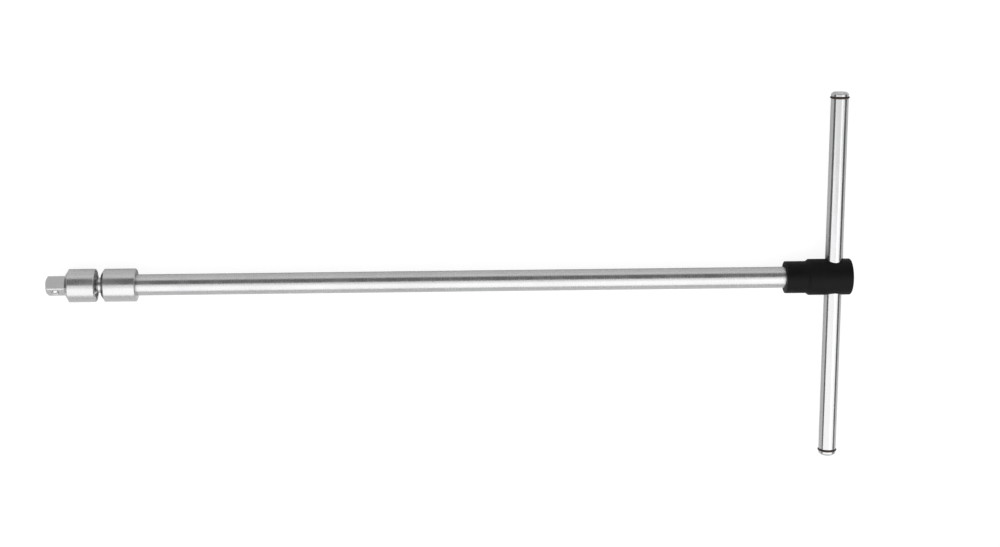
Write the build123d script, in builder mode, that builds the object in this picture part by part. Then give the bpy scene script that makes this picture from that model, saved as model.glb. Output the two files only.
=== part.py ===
from build123d import *
import os
from math import cos, radians, sin, sqrt

# Sliding T-handle socket wrench with a ball-type universal joint behind its square drive.
# X runs along the tool, from the tip of the square at 0 to the end of the head.
# Y runs along the sliding bar, Z is up as the tool lies flat, and all sizes are in millimetres.

# --- Driving dimensions -------------------------------------------------------------------

# Square drive, 3/8 inch
square_side = 9.53
square_across_corners = 12.9
square_length = 12.2
square_turn = 38.0  # how far the square is turned about X, degrees
tip_chamfer = 1.3
tip_radius = 4.5

# Detent ball in one flat of the square
detent_x = 5.8
detent_radius = 2.38
detent_proud = 0.9
detent_hole_radius = 2.43
detent_lip_radius = 2.2  # the narrowest place, which holds the ball in
detent_lip_start = 0.85  # depths below the flat
detent_lip_depth = 0.45
detent_recess_radius = 2.85
detent_hole_floor = -3.2  # from the tool's axis, along the hole

edge_round = 0.25  # radius on the outer corners of turned pieces

# Cup of the universal joint, with a conical shoulder up from the square
shoulder_radius = 6.7
shoulder_length = 2.4
cup_radius = 10.6
cup_end_x = 31.6
cup_chamfer = 0.6
cup_bore_radius = 7.65
cup_bore_floor_x = 17.8
cup_mouth_chamfer = 0.4
pocket_radius = 5.4
pocket_floor_x = 15.2

# Ball, neck and collar
ball_x = 25.85
ball_radius = 7.5
waist_radius = 4.1
waist_end = 6.7  # from the ball's centre
neck_radius = 4.95
neck_start = 7.15  # from the ball's centre
collar_x = 35.2
collar_face_radius = 7.6
collar_cone_length = 2.0
collar_radius = 10.5
collar_end_x = 57.3
collar_chamfer = 0.6
collar_bore_floor_x = 40.0

# Cross pin and its slots
pin_radius = 1.5
pin_half_length = 9.25
pin_chamfer = 0.3
pin_hole_radius = 1.55
slot_half_width = 1.6
slot_reach = 9.45
slot_depth = 4.0  # past the ball's centre, towards the square

# Snap ring and its groove
ring_start = 3.88  # from the ball's centre
ring_thickness = 0.95
ring_inner_radius = 6.5
ring_outer_radius = 8.3
ring_opening = 80.0  # degrees
groove_radius = 8.4
groove_slack = 0.03

# Friction seat and spring behind the ball
seat_front = 4.0  # from the ball's centre
seat_back = 8.0
seat_radius = 7.5
seat_gap = 0.1
seat_hole_radius = 2.0
seat_spring_wire = 0.35
seat_spring_radius = 4.5
seat_spring_turns = 2

# Shaft
shaft_radius = 6.75
shaft_chamfer = 0.5
shaft_head_end_x = 485.5

# Head
bar_x = 500.0
head_x = 469.0
head_small_radius = 10.2
head_step_x = 482.1
head_step_length = 1.9
head_radius = 11.5
head_end_x = 510.5
head_chamfer = 0.5
head_bore_floor_x = 486.0
head_bore_rim = 0.3  # radius on the rims of the cross bore

# Sliding bar and its O-rings
bar_radius = 5.5
bar_clearance = 0.05
bar_half_length = 117.5
bar_chamfer = 1.3
o_ring_inset = 3.4
o_ring_cord_radius = 0.6
o_ring_ring_radius = 5.45
o_ring_groove_half_width = 0.65
o_ring_groove_radius = 4.8

# Ball and spring that press on the bar
bar_ball_radius = 2.5
bar_ball_gap = 0.03
bar_ball_bore_radius = 2.6
bar_spring_pocket_x = 479.5
bar_spring_wire = 0.35
bar_spring_radius = 1.7
bar_spring_turns = 7

detent_spring_wire = 0.22
detent_spring_radius = 1.3
detent_spring_turns = 6

end_gap = 0.03  # left between a spring's wire and what it presses on

# --- Places worked out from them ----------------------------------------------------------

half_side = square_side / 2
cup_start_x = square_length + shoulder_length
detent_centre = half_side + detent_proud - detent_radius
bar_ball_x = bar_x - bar_radius - bar_ball_radius - bar_ball_gap
o_ring_y = bar_half_length - o_ring_inset

# The square's own plane, and the direction out of the flat that holds the detent ball
turn = radians(square_turn)
square_plane = Plane(origin=(0, 0, 0), x_dir=(0, cos(turn), -sin(turn)), z_dir=(1, 0, 0))
detent_direction = Vector(0, -cos(turn), sin(turn))
detent_plane = Plane(
    origin=(detent_x, 0, 0), x_dir=(1, 0, 0), z_dir=Vector(1, 0, 0).cross(detent_direction)
)
detent_axis = Axis(origin=(detent_x, 0, 0), direction=detent_direction)

os.makedirs("parts", exist_ok=True)


def coil_spring(start, direction, length, coil_radius, wire_radius, turns):
    """Compression spring whose wire starts beside start and winds for length along direction."""
    with BuildPart() as spring:
        with BuildLine() as wire:
            Helix(
                pitch=length / turns,
                height=length,
                radius=coil_radius,
                center=start,
                direction=direction,
            )
        with BuildSketch(Plane(origin=wire.line @ 0, z_dir=wire.line % 0)):
            Circle(wire_radius)
        sweep()
    return spring


def off_the_axis(vertex):
    """Whether a corner of a turned piece's outline is away from the tool's axis."""
    return vertex.Y > 0


def wire_reach(ball, wire, coil):
    """How far behind a ball's centre the wire's centre lies when the coil rests on the ball."""
    return sqrt((ball + wire + end_gap) ** 2 - coil**2)


# --- Drive head: square and cup -----------------------------------------------------------

with BuildPart() as drive_head:
    # Square stub, trimmed to a circle across its corners and tapered at its tip
    with BuildSketch(square_plane):
        Rectangle(square_side, square_side)
    extrude(amount=cup_start_x)
    with BuildSketch(Plane.XY):
        with BuildLine():
            Polyline(
                (0, 0),
                (0, tip_radius),
                (tip_chamfer, square_across_corners / 2),
                (cup_start_x, square_across_corners / 2),
                (cup_start_x, 0),
                close=True,
            )
        make_face()
    revolve(axis=Axis.X, mode=Mode.INTERSECT)

    # Shoulder and round cup
    with BuildSketch(Plane.XY) as cup_outline:
        with BuildLine():
            Polyline(
                (square_length, 0),
                (square_length, shoulder_radius),
                (cup_start_x, cup_radius),
                (cup_end_x - cup_chamfer, cup_radius),
                (cup_end_x, cup_radius - cup_chamfer),
                (cup_end_x, 0),
                close=True,
            )
        make_face()
        fillet(cup_outline.vertices().filter_by(off_the_axis), edge_round)
    revolve(axis=Axis.X)

    # Bore for the ball, its snap-ring groove, and the spring pocket behind it
    groove_start_x = ball_x + ring_start - groove_slack
    groove_end_x = ball_x + ring_start + ring_thickness + groove_slack
    with BuildSketch(Plane.XY):
        with BuildLine():
            Polyline(
                (pocket_floor_x, 0),
                (pocket_floor_x, pocket_radius),
                (cup_bore_floor_x, pocket_radius),
                (cup_bore_floor_x, cup_bore_radius),
                (groove_start_x, cup_bore_radius),
                (groove_start_x, groove_radius),
                (groove_end_x, groove_radius),
                (groove_end_x, cup_bore_radius),
                (cup_end_x - cup_mouth_chamfer, cup_bore_radius),
                (cup_end_x, cup_bore_radius + cup_mouth_chamfer),
                (cup_end_x, 0),
                close=True,
            )
        make_face()
    revolve(axis=Axis.X, mode=Mode.SUBTRACT)

    # Two slots for the ends of the cross pin, open at the mouth
    with BuildSketch(Plane.YZ.offset(ball_x - slot_depth)):
        Rectangle(2 * slot_reach, 2 * slot_half_width)
    extrude(amount=cup_end_x - ball_x + slot_depth, mode=Mode.SUBTRACT)

    # Blind hole for the detent ball, with a lip at the bottom of a shallow recess
    with BuildSketch(detent_plane):
        with BuildLine():
            Polyline(
                (0, detent_hole_floor),
                (detent_hole_radius, detent_hole_floor),
                (detent_hole_radius, half_side - detent_lip_start),
                (detent_lip_radius, half_side - detent_lip_depth),
                (detent_recess_radius, half_side),
                (detent_recess_radius, half_side + detent_proud),
                (0, half_side + detent_proud),
                close=True,
            )
        make_face()
    revolve(axis=detent_axis, mode=Mode.SUBTRACT)

drive_head.part.label = "drive_head"
export_step(drive_head.part, "parts/drive_head.step")


# --- Detent ball and its spring -----------------------------------------------------------

with BuildPart() as detent_ball:
    with Locations(detent_plane.origin + detent_direction * detent_centre):
        Sphere(detent_radius)

detent_ball.part.label = "detent_ball"
export_step(detent_ball.part, "parts/detent_ball.step")

spring_start = detent_hole_floor + detent_spring_wire + end_gap
spring_end = detent_centre - wire_reach(detent_radius, detent_spring_wire, detent_spring_radius)
detent_spring = coil_spring(
    detent_plane.origin + detent_direction * spring_start,
    detent_direction,
    spring_end - spring_start,
    detent_spring_radius,
    detent_spring_wire,
    detent_spring_turns,
)
detent_spring.part.label = "detent_spring"
export_step(detent_spring.part, "parts/detent_spring.step")


# --- Joint stud: ball, waist, neck and collar ---------------------------------------------

with BuildPart() as joint_stud:
    with Locations((ball_x, 0, 0)):
        Sphere(ball_radius)
    with BuildSketch(Plane.XY) as stud_outline:
        with BuildLine():
            Polyline(
                (ball_x, 0),
                (ball_x, waist_radius),
                (ball_x + waist_end, waist_radius),
                (ball_x + neck_start, neck_radius),
                (collar_x, neck_radius),
                (collar_x, collar_face_radius),
                (collar_x + collar_cone_length, collar_radius),
                (collar_end_x - collar_chamfer, collar_radius),
                (collar_end_x, collar_radius - collar_chamfer),
                (collar_end_x, 0),
                close=True,
            )
        make_face()
        fillet(stud_outline.vertices().filter_by(off_the_axis).sort_by(Axis.X)[1:], edge_round)
    revolve(axis=Axis.X)

    # Socket for the shaft
    with BuildSketch(Plane.YZ.offset(collar_bore_floor_x)):
        Circle(shaft_radius)
    extrude(amount=collar_end_x - collar_bore_floor_x, mode=Mode.SUBTRACT)

    # Hole for the cross pin, through the ball
    with BuildSketch(Plane.XZ):
        with Locations((ball_x, 0)):
            Circle(pin_hole_radius)
    extrude(amount=ball_radius, both=True, mode=Mode.SUBTRACT)

joint_stud.part.label = "joint_stud"
export_step(joint_stud.part, "parts/joint_stud.step")


# --- Cross pin ----------------------------------------------------------------------------

with BuildPart() as joint_pin:
    with BuildSketch(Plane.XZ):
        with Locations((ball_x, 0)):
            Circle(pin_radius)
    extrude(amount=pin_half_length, both=True)
    chamfer(joint_pin.edges().filter_by(GeomType.CIRCLE), length=pin_chamfer)

joint_pin.part.label = "joint_pin"
export_step(joint_pin.part, "parts/joint_pin.step")


# --- Snap ring ----------------------------------------------------------------------------

with BuildPart() as retaining_ring:
    with BuildSketch(Plane.YZ.offset(ball_x + ring_start)):
        Circle(ring_outer_radius)
        Circle(ring_inner_radius, mode=Mode.SUBTRACT)
        # The opening is a wedge centred on -Z, from the axis to past the ring
        half_opening = radians(ring_opening / 2)
        wedge_depth = 2 * ring_outer_radius
        wedge_half_width = wedge_depth * sin(half_opening) / cos(half_opening)
        with BuildLine():
            Polyline(
                (0, 0),
                (wedge_half_width, -wedge_depth),
                (-wedge_half_width, -wedge_depth),
                close=True,
            )
        make_face(mode=Mode.SUBTRACT)
    extrude(amount=ring_thickness)

retaining_ring.part.label = "retaining_ring"
export_step(retaining_ring.part, "parts/retaining_ring.step")


# --- Friction seat and its spring ---------------------------------------------------------

with BuildPart() as friction_seat:
    with BuildSketch(Plane.YZ.offset(ball_x - seat_back)):
        Circle(seat_radius)
        Circle(seat_hole_radius, mode=Mode.SUBTRACT)
    extrude(amount=seat_back - seat_front)
    with Locations((ball_x, 0, 0)):
        Sphere(ball_radius + seat_gap, mode=Mode.SUBTRACT)

friction_seat.part.label = "friction_seat"
export_step(friction_seat.part, "parts/friction_seat.step")

seat_spring_start_x = pocket_floor_x + seat_spring_wire + end_gap
seat_spring_end_x = ball_x - seat_back - seat_spring_wire - end_gap
friction_spring = coil_spring(
    (seat_spring_start_x, 0, 0),
    (1, 0, 0),
    seat_spring_end_x - seat_spring_start_x,
    seat_spring_radius,
    seat_spring_wire,
    seat_spring_turns,
)
friction_spring.part.label = "friction_spring"
export_step(friction_spring.part, "parts/friction_spring.step")


# --- Shaft --------------------------------------------------------------------------------

with BuildPart() as shaft:
    with BuildSketch(Plane.XY):
        with BuildLine():
            Polyline(
                (collar_bore_floor_x, 0),
                (collar_bore_floor_x, shaft_radius - shaft_chamfer),
                (collar_bore_floor_x + shaft_chamfer, shaft_radius),
                (shaft_head_end_x - shaft_chamfer, shaft_radius),
                (shaft_head_end_x, shaft_radius - shaft_chamfer),
                (shaft_head_end_x, bar_ball_bore_radius),
                (bar_spring_pocket_x, bar_ball_bore_radius),
                (bar_spring_pocket_x, 0),
                close=True,
            )
        make_face()
    revolve(axis=Axis.X)

shaft.part.label = "shaft"
export_step(shaft.part, "parts/shaft.step")


# --- Cross-drilled head -------------------------------------------------------------------

with BuildPart() as handle_head:
    with BuildSketch(Plane.XY) as head_outline:
        with BuildLine():
            Polyline(
                (head_x, 0),
                (head_x, head_small_radius),
                (head_step_x, head_small_radius),
                (head_step_x + head_step_length, head_radius),
                (head_end_x - head_chamfer, head_radius),
                (head_end_x, head_radius - head_chamfer),
                (head_end_x, 0),
                close=True,
            )
        make_face()
        fillet(head_outline.vertices().filter_by(off_the_axis), edge_round)
    revolve(axis=Axis.X)

    # Socket for the shaft, with a narrower bore on to the bar for the ball
    with BuildSketch(Plane.YZ.offset(head_x)):
        Circle(shaft_radius)
    extrude(amount=head_bore_floor_x - head_x, mode=Mode.SUBTRACT)
    with BuildSketch(Plane.YZ.offset(head_bore_floor_x)):
        Circle(bar_ball_bore_radius)
    extrude(amount=bar_x - head_bore_floor_x, mode=Mode.SUBTRACT)

    # Cross bore for the bar
    with BuildSketch(Plane.XZ):
        with Locations((bar_x, 0)):
            Circle(bar_radius + bar_clearance)
    extrude(amount=head_radius, both=True, mode=Mode.SUBTRACT)
    rims = handle_head.edges().filter_by(GeomType.BSPLINE)
    fillet(rims.filter_by(lambda edge: abs(edge.center().Y) > bar_radius), head_bore_rim)

handle_head.part.label = "handle_head"
export_step(handle_head.part, "parts/handle_head.step")


# --- Ball and spring that press on the bar ------------------------------------------------

with BuildPart() as bar_ball:
    with Locations((bar_ball_x, 0, 0)):
        Sphere(bar_ball_radius)

bar_ball.part.label = "bar_ball"
export_step(bar_ball.part, "parts/bar_ball.step")

bar_spring_start_x = bar_spring_pocket_x + bar_spring_wire + end_gap
bar_spring_end_x = bar_ball_x - wire_reach(bar_ball_radius, bar_spring_wire, bar_spring_radius)
bar_spring = coil_spring(
    (bar_spring_start_x, 0, 0),
    (1, 0, 0),
    bar_spring_end_x - bar_spring_start_x,
    bar_spring_radius,
    bar_spring_wire,
    bar_spring_turns,
)
bar_spring.part.label = "bar_spring"
export_step(bar_spring.part, "parts/bar_spring.step")


# --- Sliding bar --------------------------------------------------------------------------

with BuildPart() as handle_bar:
    # Half of the bar's outline, mirrored about its middle, as (distance from the axis, Y)
    groove_outer_y = o_ring_y + o_ring_groove_half_width
    groove_inner_y = o_ring_y - o_ring_groove_half_width
    with BuildSketch(Plane.XY):
        with BuildLine():
            Polyline(
                (bar_x, 0),
                (bar_x + bar_radius, 0),
                (bar_x + bar_radius, groove_inner_y),
                (bar_x + o_ring_groove_radius, groove_inner_y),
                (bar_x + o_ring_groove_radius, groove_outer_y),
                (bar_x + bar_radius, groove_outer_y),
                (bar_x + bar_radius, bar_half_length - bar_chamfer),
                (bar_x + bar_radius - bar_chamfer, bar_half_length),
                (bar_x, bar_half_length),
                close=True,
            )
        make_face()
        mirror(about=Plane.XZ)
    revolve(axis=Axis(origin=(bar_x, 0, 0), direction=(0, 1, 0)))

handle_bar.part.label = "handle_bar"
export_step(handle_bar.part, "parts/handle_bar.step")


# --- O-rings ------------------------------------------------------------------------------

for name, side in (("o_ring_upper", 1), ("o_ring_lower", -1)):
    with BuildPart() as o_ring:
        with Locations(Plane(origin=(bar_x, side * o_ring_y, 0), z_dir=(0, 1, 0))):
            Torus(o_ring_ring_radius, o_ring_cord_radius)
    o_ring.part.label = name
    export_step(o_ring.part, f"parts/{name}.step")
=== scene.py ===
from math import cos, pi, radians, sin

import bpy
from mathutils import Matrix, Vector


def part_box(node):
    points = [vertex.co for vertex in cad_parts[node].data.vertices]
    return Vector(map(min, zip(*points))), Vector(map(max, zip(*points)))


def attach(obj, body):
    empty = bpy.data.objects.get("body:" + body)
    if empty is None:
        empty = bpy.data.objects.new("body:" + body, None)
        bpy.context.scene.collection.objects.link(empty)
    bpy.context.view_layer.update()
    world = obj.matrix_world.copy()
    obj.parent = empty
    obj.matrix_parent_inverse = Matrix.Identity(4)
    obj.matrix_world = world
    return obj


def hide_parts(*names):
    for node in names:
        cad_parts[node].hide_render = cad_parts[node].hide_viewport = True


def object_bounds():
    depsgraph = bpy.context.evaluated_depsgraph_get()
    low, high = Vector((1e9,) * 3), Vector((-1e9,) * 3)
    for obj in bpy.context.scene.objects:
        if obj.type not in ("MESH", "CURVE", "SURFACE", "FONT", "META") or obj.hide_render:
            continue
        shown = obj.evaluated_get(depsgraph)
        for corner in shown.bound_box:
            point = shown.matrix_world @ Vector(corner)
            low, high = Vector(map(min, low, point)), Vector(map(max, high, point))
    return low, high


# Looks of the sliding T-handle wrench, in metres and in the frame of its CAD model:
# X along the shank from the square to the head, Y along the bar, Z up.

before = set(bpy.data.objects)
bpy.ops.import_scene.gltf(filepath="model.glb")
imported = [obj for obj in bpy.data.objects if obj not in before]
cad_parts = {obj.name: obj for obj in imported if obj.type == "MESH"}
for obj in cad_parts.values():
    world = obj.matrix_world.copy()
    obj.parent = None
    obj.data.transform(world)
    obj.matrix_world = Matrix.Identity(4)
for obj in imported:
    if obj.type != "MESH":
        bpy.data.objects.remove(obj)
cad_low, cad_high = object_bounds()
scene = bpy.context.scene

# --- Sizes read from the frame, and the few that only the looks need ------------------------

shaft_low, shaft_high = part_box("shaft")
bar_low, bar_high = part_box("handle_bar")
ring_low, ring_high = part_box("o_ring_upper")
ball_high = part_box("bar_ball")[1]

shaft_radius = shaft_high.z
bar_x = (bar_low.x + bar_high.x) / 2
bar_radius = bar_high.z
bar_half_length = bar_high.y
ring_y = (ring_low.y + ring_high.y) / 2
floor_z = cad_low.z
middle = (cad_low + cad_high) / 2

shaft_chamfer = 0.0005
shaft_edge = 0.0002  # how far a rounded corner reaches along each of its sides
ball_bore_clearance = 0.0001
ball_bore_radius = ball_high.z + ball_bore_clearance
ball_bore_length = 0.006
bar_chamfer = 0.0013
bar_edge = 0.0003  # the same for the bar
groove_half_width = 0.00065
groove_floor_radius = 0.0048

TURNED_SIDES = 160  # flats round a turned piece
CORNER_STEPS = 5  # flats across a rounded corner
KEPT_POINT = 1.4  # distance of the point kept beside a rounded corner, in corner reaches
ON_AXIS = 1e-7  # a smaller radius closes a ring to one point


# --- Turned pieces --------------------------------------------------------------------------

def rounded(outline, reach):
    """The outline with its inner corners rounded, and a point kept on each side of a corner.

    The extra points hold the shading of the long straight faces still up to the corner.
    """
    points = [outline[0]]
    for before, corner, after in zip(outline, outline[1:], outline[2:]):
        to_before, to_after = before - corner, after - corner
        cut = min(reach, to_before.length / 3, to_after.length / 3)
        start = corner + to_before.normalized() * cut
        end = corner + to_after.normalized() * cut
        points.append(corner + to_before.normalized() * cut * KEPT_POINT)
        for step in range(CORNER_STEPS + 1):
            t = step / CORNER_STEPS
            points.append(start * (1 - t) ** 2 + corner * 2 * t * (1 - t) + end * t**2)
        points.append(corner + to_after.normalized() * cut * KEPT_POINT)
    points.append(outline[-1])
    return points


def turned(name, outline, origin, along):
    """A mesh turned about the line through origin in the direction along.

    The outline runs from one end to the other as (distance along, radius); it starts and ends
    on the axis, where a ring closes to one point.
    """
    along = along.normalized()
    side = along.orthogonal().normalized()
    other = along.cross(side)
    vertices, faces, rings = [], [], []
    for distance, radius in outline:
        centre = origin + along * distance
        rings.append(len(vertices))
        if radius < ON_AXIS:
            vertices.append(centre)
            continue
        for k in range(TURNED_SIDES):
            angle = 2 * pi * k / TURNED_SIDES
            vertices.append(centre + (side * cos(angle) + other * sin(angle)) * radius)
    rings.append(len(vertices))
    for i in range(len(rings) - 2):
        here, there = rings[i], rings[i + 1]
        single_here, single_there = there - here == 1, rings[i + 2] - there == 1
        for k in range(TURNED_SIDES):
            k2 = (k + 1) % TURNED_SIDES
            if single_here:
                faces.append((here, there + k2, there + k))
            elif single_there:
                faces.append((here + k, here + k2, there))
            else:
                faces.append((here + k, here + k2, there + k2, there + k))
    mesh = bpy.data.meshes.new(name)
    mesh.from_pydata([tuple(v) for v in vertices], [], faces)
    mesh.update()
    mesh.shade_smooth()
    piece = bpy.data.objects.new(name, mesh)
    scene.collection.objects.link(piece)
    return piece


def make_shaft():
    """The shank, with the small bore in its end that holds the bar's ball and spring."""
    length = shaft_high.x - shaft_low.x
    outline = [
        Vector((0, 0)),
        Vector((0, shaft_radius - shaft_chamfer)),
        Vector((shaft_chamfer, shaft_radius)),
        Vector((length - shaft_chamfer, shaft_radius)),
        Vector((length, shaft_radius - shaft_chamfer)),
        Vector((length, ball_bore_radius)),
        Vector((length - ball_bore_length, ball_bore_radius)),
        Vector((length - ball_bore_length, 0)),
    ]
    origin = Vector((shaft_low.x, 0, 0))
    return turned("shaft_turned", rounded(outline, shaft_edge), origin, Vector((1, 0, 0)))


def make_bar():
    """The sliding bar, with chamfered ends and a groove for an O-ring near each."""
    half = [
        Vector((bar_half_length, 0)),
        Vector((bar_half_length, bar_radius - bar_chamfer)),
        Vector((bar_half_length - bar_chamfer, bar_radius)),
        Vector((ring_y + groove_half_width, bar_radius)),
        Vector((ring_y + groove_half_width, groove_floor_radius)),
        Vector((ring_y - groove_half_width, groove_floor_radius)),
        Vector((ring_y - groove_half_width, bar_radius)),
    ]
    other_half = [Vector((-distance, radius)) for distance, radius in reversed(half)]
    outline = rounded(half + other_half, bar_edge)
    origin = Vector((bar_x, 0, 0))
    return turned("bar_turned", outline, origin, Vector((0, 1, 0)))


# --- Materials ------------------------------------------------------------------------------

class Finish:
    """A material under construction: its node tree, and short ways to add nodes to it."""

    def __init__(self, name):
        self.material = bpy.data.materials.new(name)
        self.material.use_nodes = True
        self.nodes = self.material.node_tree.nodes
        self.links = self.material.node_tree.links
        self.nodes.clear()
        output = self.nodes.new("ShaderNodeOutputMaterial")
        self.shader = self.nodes.new("ShaderNodeBsdfPrincipled")
        self.links.new(self.shader.outputs["BSDF"], output.inputs["Surface"])
        self.place = self.nodes.new("ShaderNodeTexCoord").outputs["Object"]
        self.bumped = None

    def node(self, kind, settings=None, inputs=None):
        """A node of a kind, with its settings and its inputs, which are values or sockets."""
        made = self.nodes.new(kind)
        for key, value in (settings or {}).items():
            setattr(made, key, value)
        for key, value in (inputs or {}).items():
            if isinstance(value, bpy.types.NodeSocket):
                self.links.new(value, made.inputs[key])
            else:
                made.inputs[key].default_value = value
        return made

    def noise(self, grain, detail=3.0, rough=0.55, stretch=(1, 1, 1), shift=(0, 0, 0)):
        """Noise from 0 to 1 whose features are about grain metres across, times stretch."""
        scale = tuple(1 / s for s in stretch)
        mapped = self.node(
            "ShaderNodeMapping",
            inputs={"Vector": self.place, "Scale": scale, "Location": shift},
        )
        made = self.node(
            "ShaderNodeTexNoise",
            inputs={
                "Vector": mapped.outputs["Vector"],
                "Scale": 1 / grain,
                "Detail": detail,
                "Roughness": rough,
            },
        )
        return made.outputs["Fac"]

    def between(self, factor, low, high, from_low=0.3, from_high=0.7):
        """The factor's range from_low to from_high mapped smoothly to low to high."""
        made = self.node(
            "ShaderNodeMapRange",
            {"interpolation_type": "SMOOTHSTEP"},
            {
                "Value": factor,
                "From Min": from_low,
                "From Max": from_high,
                "To Min": low,
                "To Max": high,
            },
        )
        return made.outputs["Result"]

    def maths(self, operation, a, b=0.0):
        made = self.node("ShaderNodeMath", {"operation": operation}, {0: a, 1: b})
        return made.outputs["Value"]

    def blend(self, factor, low, high):
        """A colour between two, each a colour or a socket."""
        made = self.node("ShaderNodeMix", {"data_type": "RGBA"})
        for name, value in (("Factor", factor), ("A", low), ("B", high)):
            kind = "VALUE" if name == "Factor" else "RGBA"
            socket = next(s for s in made.inputs if s.name == name and s.type == kind)
            if isinstance(value, bpy.types.NodeSocket):
                self.links.new(value, socket)
            else:
                socket.default_value = value
        return next(s for s in made.outputs if s.type == "RGBA")

    def edges(self, width):
        """1 on the outer edges and 0 on the faces, with a worn, uneven border between."""
        bevel = self.node("ShaderNodeBevel", {"samples": 6}, {"Radius": width})
        flat = self.node("ShaderNodeNewGeometry").outputs["Normal"]
        dot = self.node(
            "ShaderNodeVectorMath",
            {"operation": "DOT_PRODUCT"},
            {0: bevel.outputs["Normal"], 1: flat},
        )
        bend = self.maths("SUBTRACT", 1.0, dot.outputs["Value"])
        uneven = self.between(self.noise(width * 3, 4), 0.4, 1.6, 0.35, 0.65)
        return self.between(self.maths("MULTIPLY", bend, uneven), 0.0, 1.0, 0.01, 0.12)

    def bump(self, height, depth, strength=1.0):
        """Adds a height from 0 to 1 as relief of depth metres, over any added before."""
        inputs = {"Height": height, "Distance": depth, "Strength": strength}
        if self.bumped:
            inputs["Normal"] = self.bumped
        self.bumped = self.node("ShaderNodeBump", inputs=inputs).outputs["Normal"]

    def use(self, colour=None, roughness=None):
        """Links the colour and the roughness, and the relief, to the shader."""
        for name, value in (("Base Color", colour), ("Roughness", roughness)):
            if value is not None:
                self.links.new(value, self.shader.inputs[name])
        if self.bumped:
            self.links.new(self.bumped, self.shader.inputs["Normal"])
        return self.material


def colour(r, g, b):
    return (r, g, b, 1.0)


def chrome(name, tone, roughness, line_depth, lines_along):
    """Chrome plate over turned and polished steel.

    Fine lines left by polishing run across lines_along, a vector whose long entries are the
    directions in which the surface stays the same. Faint handling marks change the roughness.
    """
    f = Finish(name)
    f.shader.inputs["Metallic"].default_value = 1.0
    marks = f.noise(0.014, 5, 0.6, shift=(3.1, 0.4, 7.7))
    cloud = f.noise(0.05, 2, 0.5, shift=(1.3, 2.2, 0.9))
    lines = f.noise(0.00035, 4, 0.6, stretch=lines_along)
    hairs = f.noise(0.0009, 5, 0.75, stretch=[1.0 if s > 1 else 30.0 for s in lines_along])
    edge = f.edges(0.0003)
    dark, bright = [colour(t, t, t * 1.012) for t in (tone * 0.965, tone * 1.02)]
    base = f.blend(f.between(cloud, 0.0, 1.0), dark, bright)
    worn = colour(tone * 0.93, tone * 0.915, tone * 0.89)
    base = f.blend(f.maths("MULTIPLY", edge, 0.55), base, worn)
    rough = f.between(marks, roughness * 0.85, roughness * 1.18)
    rough = f.maths("ADD", rough, f.between(lines, -0.02, 0.02))
    rough = f.maths("ADD", rough, f.maths("MULTIPLY", edge, 0.06))
    f.bump(lines, line_depth)
    f.bump(f.between(hairs, 0.0, 1.0, 0.62, 0.74), line_depth * 0.6, 0.6)
    return f.use(base, rough)


def black_finish(name):
    """Matte black over steel: a fine even grain, a few rubbed patches, lighter worn edges."""
    f = Finish(name)
    f.shader.inputs["Specular IOR Level"].default_value = 0.11
    grain = f.noise(0.00016, 3, 0.6)
    patches = f.noise(0.009, 4, 0.6, shift=(5.0, 1.0, 2.0))
    scuffs = f.noise(0.0025, 5, 0.7, stretch=(0.3, 1, 1), shift=(2.0, 8.0, 1.0))
    edge = f.edges(0.00045)
    base = f.blend(
        f.between(patches, 0.0, 1.0), colour(0.0024, 0.0018, 0.0019), colour(0.0038, 0.003, 0.0031)
    )
    rubbed = f.between(scuffs, 0.0, 1.0, 0.6, 0.75)
    base = f.blend(f.maths("MULTIPLY", rubbed, 0.3), base, colour(0.008, 0.007, 0.0066))
    base = f.blend(f.maths("MULTIPLY", edge, 0.6), base, colour(0.03, 0.026, 0.024))
    rough = f.between(patches, 0.50, 0.60)
    rough = f.maths("ADD", rough, f.between(grain, -0.04, 0.04))
    rough = f.maths("SUBTRACT", rough, f.maths("MULTIPLY", edge, 0.08))
    f.bump(grain, 0.00001)
    return f.use(base, rough)


def rubber(name):
    """Brown-black nitrile: dull, with fine moulding texture and a little bloom."""
    f = Finish(name)
    f.shader.inputs["Specular IOR Level"].default_value = 0.35
    grain = f.noise(0.00012, 3, 0.6)
    bloom = f.noise(0.0012, 4, 0.6, shift=(4.0, 1.0, 6.0))
    base = f.blend(
        f.between(bloom, 0.0, 1.0), colour(0.018, 0.008, 0.0042), colour(0.034, 0.017, 0.0095)
    )
    rough = f.maths("ADD", f.between(bloom, 0.5, 0.66), f.between(grain, -0.04, 0.04))
    f.bump(grain, 0.000008)
    return f.use(base, rough)


def bearing_steel(name):
    """Hardened and ground steel, with a very fine ground texture and an oil film."""
    f = Finish(name)
    f.shader.inputs["Metallic"].default_value = 1.0
    film = f.noise(0.002, 4, 0.6, shift=(1.0, 4.0, 2.0))
    ground = f.noise(0.00009, 3, 0.6)
    base = f.blend(
        f.between(film, 0.0, 1.0), colour(0.42, 0.42, 0.425), colour(0.52, 0.515, 0.51)
    )
    rough = f.maths("ADD", f.between(film, 0.12, 0.22), f.between(ground, -0.02, 0.02))
    f.bump(ground, 0.0000012)
    return f.use(base, rough)


def spring_steel(name):
    """Drawn and tempered wire: darker grey with a straw cast, and dull draw marks."""
    f = Finish(name)
    f.shader.inputs["Metallic"].default_value = 1.0
    temper = f.noise(0.003, 3, 0.6, shift=(2.0, 2.0, 5.0))
    draw = f.noise(0.00008, 4, 0.65)
    base = f.blend(
        f.between(temper, 0.0, 1.0), colour(0.33, 0.32, 0.30), colour(0.45, 0.445, 0.44)
    )
    rough = f.maths("ADD", f.between(temper, 0.28, 0.42), f.between(draw, -0.05, 0.05))
    f.bump(draw, 0.000004)
    return f.use(base, rough)


# --- Pieces that replace CAD nodes, and the finish of every piece ---------------------------

shaft = make_shaft()
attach(shaft, "shank")
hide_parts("shaft")

bar = make_bar()
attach(bar, "bar")
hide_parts("handle_bar")

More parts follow.
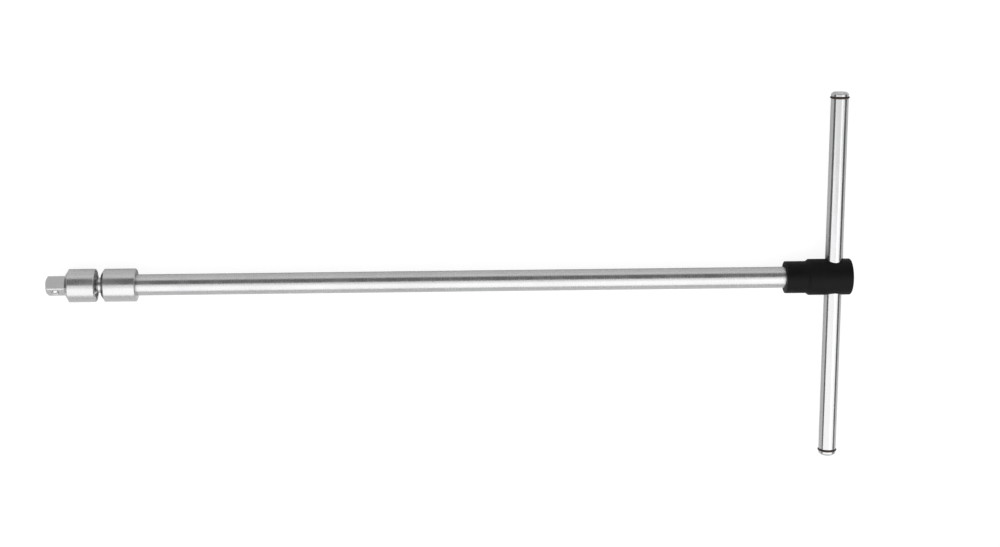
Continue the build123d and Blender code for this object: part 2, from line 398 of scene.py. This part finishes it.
ROUND_X = (1, 60, 60)  # turned about X: the lines run round the shank
ROUND_Y = (60, 1, 60)  # turned about Y: they run round the bar
satin = chrome(
    "satin_chrome_finish", tone=0.47, roughness=0.26, line_depth=0.00000015, lines_along=ROUND_X
)
polished = chrome(
    "polished_chrome_finish", tone=0.45, roughness=0.15, line_depth=0.0000001, lines_along=ROUND_Y
)
ground = bearing_steel("bearing_steel_finish")
drawn = spring_steel("spring_steel_finish")
black = black_finish("black_head_finish")
nitrile = rubber("o_ring_rubber_finish")

finishes = {
    "drive_head": satin,
    "joint_stud": satin,
    "handle_head": black,
    "o_ring_upper": nitrile,
    "o_ring_lower": nitrile,
    "detent_ball": ground,
    "bar_ball": ground,
    "joint_pin": ground,
    "friction_seat": ground,
    "detent_spring": drawn,
    "friction_spring": drawn,
    "bar_spring": drawn,
    "retaining_ring": drawn,
}
for node_name, finish in finishes.items():
    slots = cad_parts[node_name].data.materials
    slots.clear()
    slots.append(finish)
shaft.data.materials.append(satin)
bar.data.materials.append(polished)


# --- Stage: floor, studio light -------------------------------------------------------------

ROOM_LIGHT = 0.21  # strength of the grey room that the metal reflects
FLOOR_REACH = 6.0  # from the tool to the floor's edge
SHEET_GAP = 0.0002  # between the floor's two sheets


def towards(tilt_x, tilt_y, distance):
    """The point at a distance from the tool, tilted from straight up to +X and +Y in degrees."""
    up = Vector((sin(radians(tilt_x)), sin(radians(tilt_y)), 0))
    up.z = (1 - up.x**2 - up.y**2) ** 0.5
    return middle + up * distance


def panel(name, centre, width, height, strength):
    """A rectangular soft light at centre that faces the tool and isn't seen itself."""
    light = bpy.data.lights.new(name, "AREA")
    light.shape = "RECTANGLE"
    light.size, light.size_y = width, height
    light.energy = strength * width * height * pi
    made = bpy.data.objects.new(name, light)
    made.location = centre
    made.rotation_mode = "QUATERNION"
    made.rotation_quaternion = (middle - centre).to_track_quat("-Z", "Y")
    made.visible_camera = False
    scene.collection.objects.link(made)


def make_sheet(name, z, tone, glow):
    """A plain, dull, wide sheet, lit by the panels and glowing a little of its own."""
    mesh = bpy.data.meshes.new(name)
    corners = [(-1, -1), (1, -1), (1, 1), (-1, 1)]
    places = [(middle.x + x * FLOOR_REACH, middle.y + y * FLOOR_REACH, z) for x, y in corners]
    mesh.from_pydata(places, [], [(0, 1, 2, 3)])
    sheet = bpy.data.objects.new(name, mesh)
    scene.collection.objects.link(sheet)
    f = Finish(name + "_paper")
    f.shader.inputs["Specular IOR Level"].default_value = 0.0
    f.shader.inputs["Roughness"].default_value = 1.0
    f.shader.inputs["Emission Strength"].default_value = glow
    f.shader.inputs["Emission Color"].default_value = colour(1, 1, 1)
    light, dark = [colour(t, t, t) for t in (tone * 1.02, tone * 0.98)]
    mesh.materials.append(f.use(f.blend(f.between(f.noise(0.4, 2), 0, 1), dark, light)))
    return sheet


def make_floor():
    """A pale floor under the head's lowest point, as two sheets.

    The upper one is what is seen: a bright sheet on which the shadow stays faint. The lower one
    is what the metal reflects: pale paper with the real depth of shadow round the tool.
    """
    seen = make_sheet("floor", floor_z, tone=0.15, glow=0.9)
    seen.visible_glossy = False
    seen.visible_diffuse = False
    seen.visible_shadow = False
    reflected = make_sheet("floor_reflected", floor_z - SHEET_GAP, tone=0.72, glow=0.05)
    reflected.visible_camera = False


def make_sky():
    """White where the camera sees it, a soft grey room in reflections."""
    world = bpy.data.worlds.new("studio")
    world.use_nodes = True
    nodes, links = world.node_tree.nodes, world.node_tree.links
    background = nodes["Background"]
    seen = nodes.new("ShaderNodeLightPath").outputs["Is Camera Ray"]
    tone = nodes.new("ShaderNodeMapRange")
    links.new(seen, tone.inputs["Value"])
    tone.inputs["To Min"].default_value = ROOM_LIGHT
    tone.inputs["To Max"].default_value = 1.0
    links.new(tone.outputs["Result"], background.inputs["Strength"])
    background.inputs["Color"].default_value = colour(1, 1, 1)
    scene.world = world


make_floor()
make_sky()

# Name, tilt to +X and +Y, distance, width, height and strength. The key and top panels make the
# bright bands on the metal. The gap on the +Y side of the top panel makes the shank's dark line.
# The left and right panels fill that gap for the bar only.
for name, tilt_x, tilt_y, distance, width, height, strength in (
    ("key_panel", 0, -36, 1.4, 5.0, 1.55, 1.85),
    ("top_panel", 0, 3, 1.35, 5.0, 0.44, 1.3),
    ("side_panel", 32, -2, 1.6, 1.1, 0.5, 0.7),
    ("back_panel", 0, 76, 1.6, 3.0, 0.95, 0.85),
    ("front_panel", 0, -78, 1.6, 3.0, 0.6, 0.75),
    ("left_panel", -45, 27, 1.6, 0.9, 0.8, 0.7),
    ("right_panel", 45, 27, 1.6, 0.9, 0.8, 0.7),
):
    panel(name, towards(tilt_x, tilt_y, distance), width, height, strength)


# --- Camera ---------------------------------------------------------------------------------

# It looks almost straight down, from between the bar and the square.
lens = 0.06233
sensor = 0.036
lens_shift = 0.08  # of the picture's width: the optical centre is left of the middle
view_distance = 1.1019  # from the bar's middle to the camera, along the camera's axis
view_left = 0.2630  # how far left of the bar the camera's axis passes
view_up = 0.0020
tilt_to_bar_end = radians(11.29)  # it stands on the +Y side of the shank
tilt_to_square = radians(0.37)
roll = radians(0.61)

turn = (
    Matrix.Rotation(-tilt_to_square, 3, "Y")
    @ Matrix.Rotation(-tilt_to_bar_end, 3, "X")
    @ Matrix.Rotation(-roll, 3, "Z")
)
camera_data = bpy.data.cameras.new("camera")
camera_data.sensor_width = sensor * 1000
camera_data.lens = lens * 1000
camera_data.shift_x = lens_shift
camera = bpy.data.objects.new("camera", camera_data)
camera.location = Vector((bar_x, 0, 0)) + turn @ Vector((-view_left, view_up, view_distance))
camera.rotation_mode = "QUATERNION"
camera.rotation_quaternion = turn.to_quaternion()
scene.collection.objects.link(camera)
scene.camera = camera
scene.view_settings.view_transform = "Standard"
